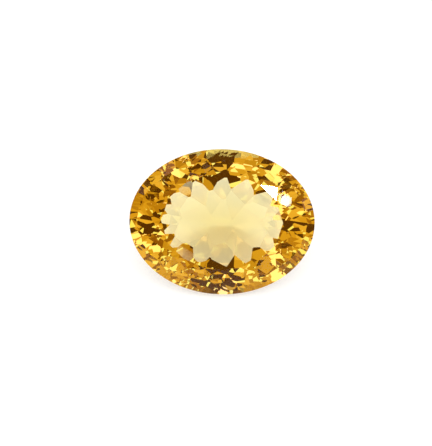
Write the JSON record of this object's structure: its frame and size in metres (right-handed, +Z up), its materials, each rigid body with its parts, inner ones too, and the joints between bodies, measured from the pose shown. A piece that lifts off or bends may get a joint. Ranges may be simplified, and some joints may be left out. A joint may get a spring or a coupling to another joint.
{
  "type": "oval cut gemstone",
  "caption": "Loose oval-cut golden citrine with a faceted crown and pavilion, lying on one pavilion facet with its table tipped forward.",
  "frame": {"origin": "middle of the bounding box, at the level of the facet that the stone lies on", "axes": "+Z up, +X along the stone's length, -Y the side towards which the table is tipped"},
  "size_m": [0.018, 0.0112, 0.0092],
  "materials": {
    "citrine": "clear golden quartz, polished facets, finely ground girdle"
  },
  "bodies": {
    "root": {"citrine_gem": "citrine"}
  },
  "joints": []
}
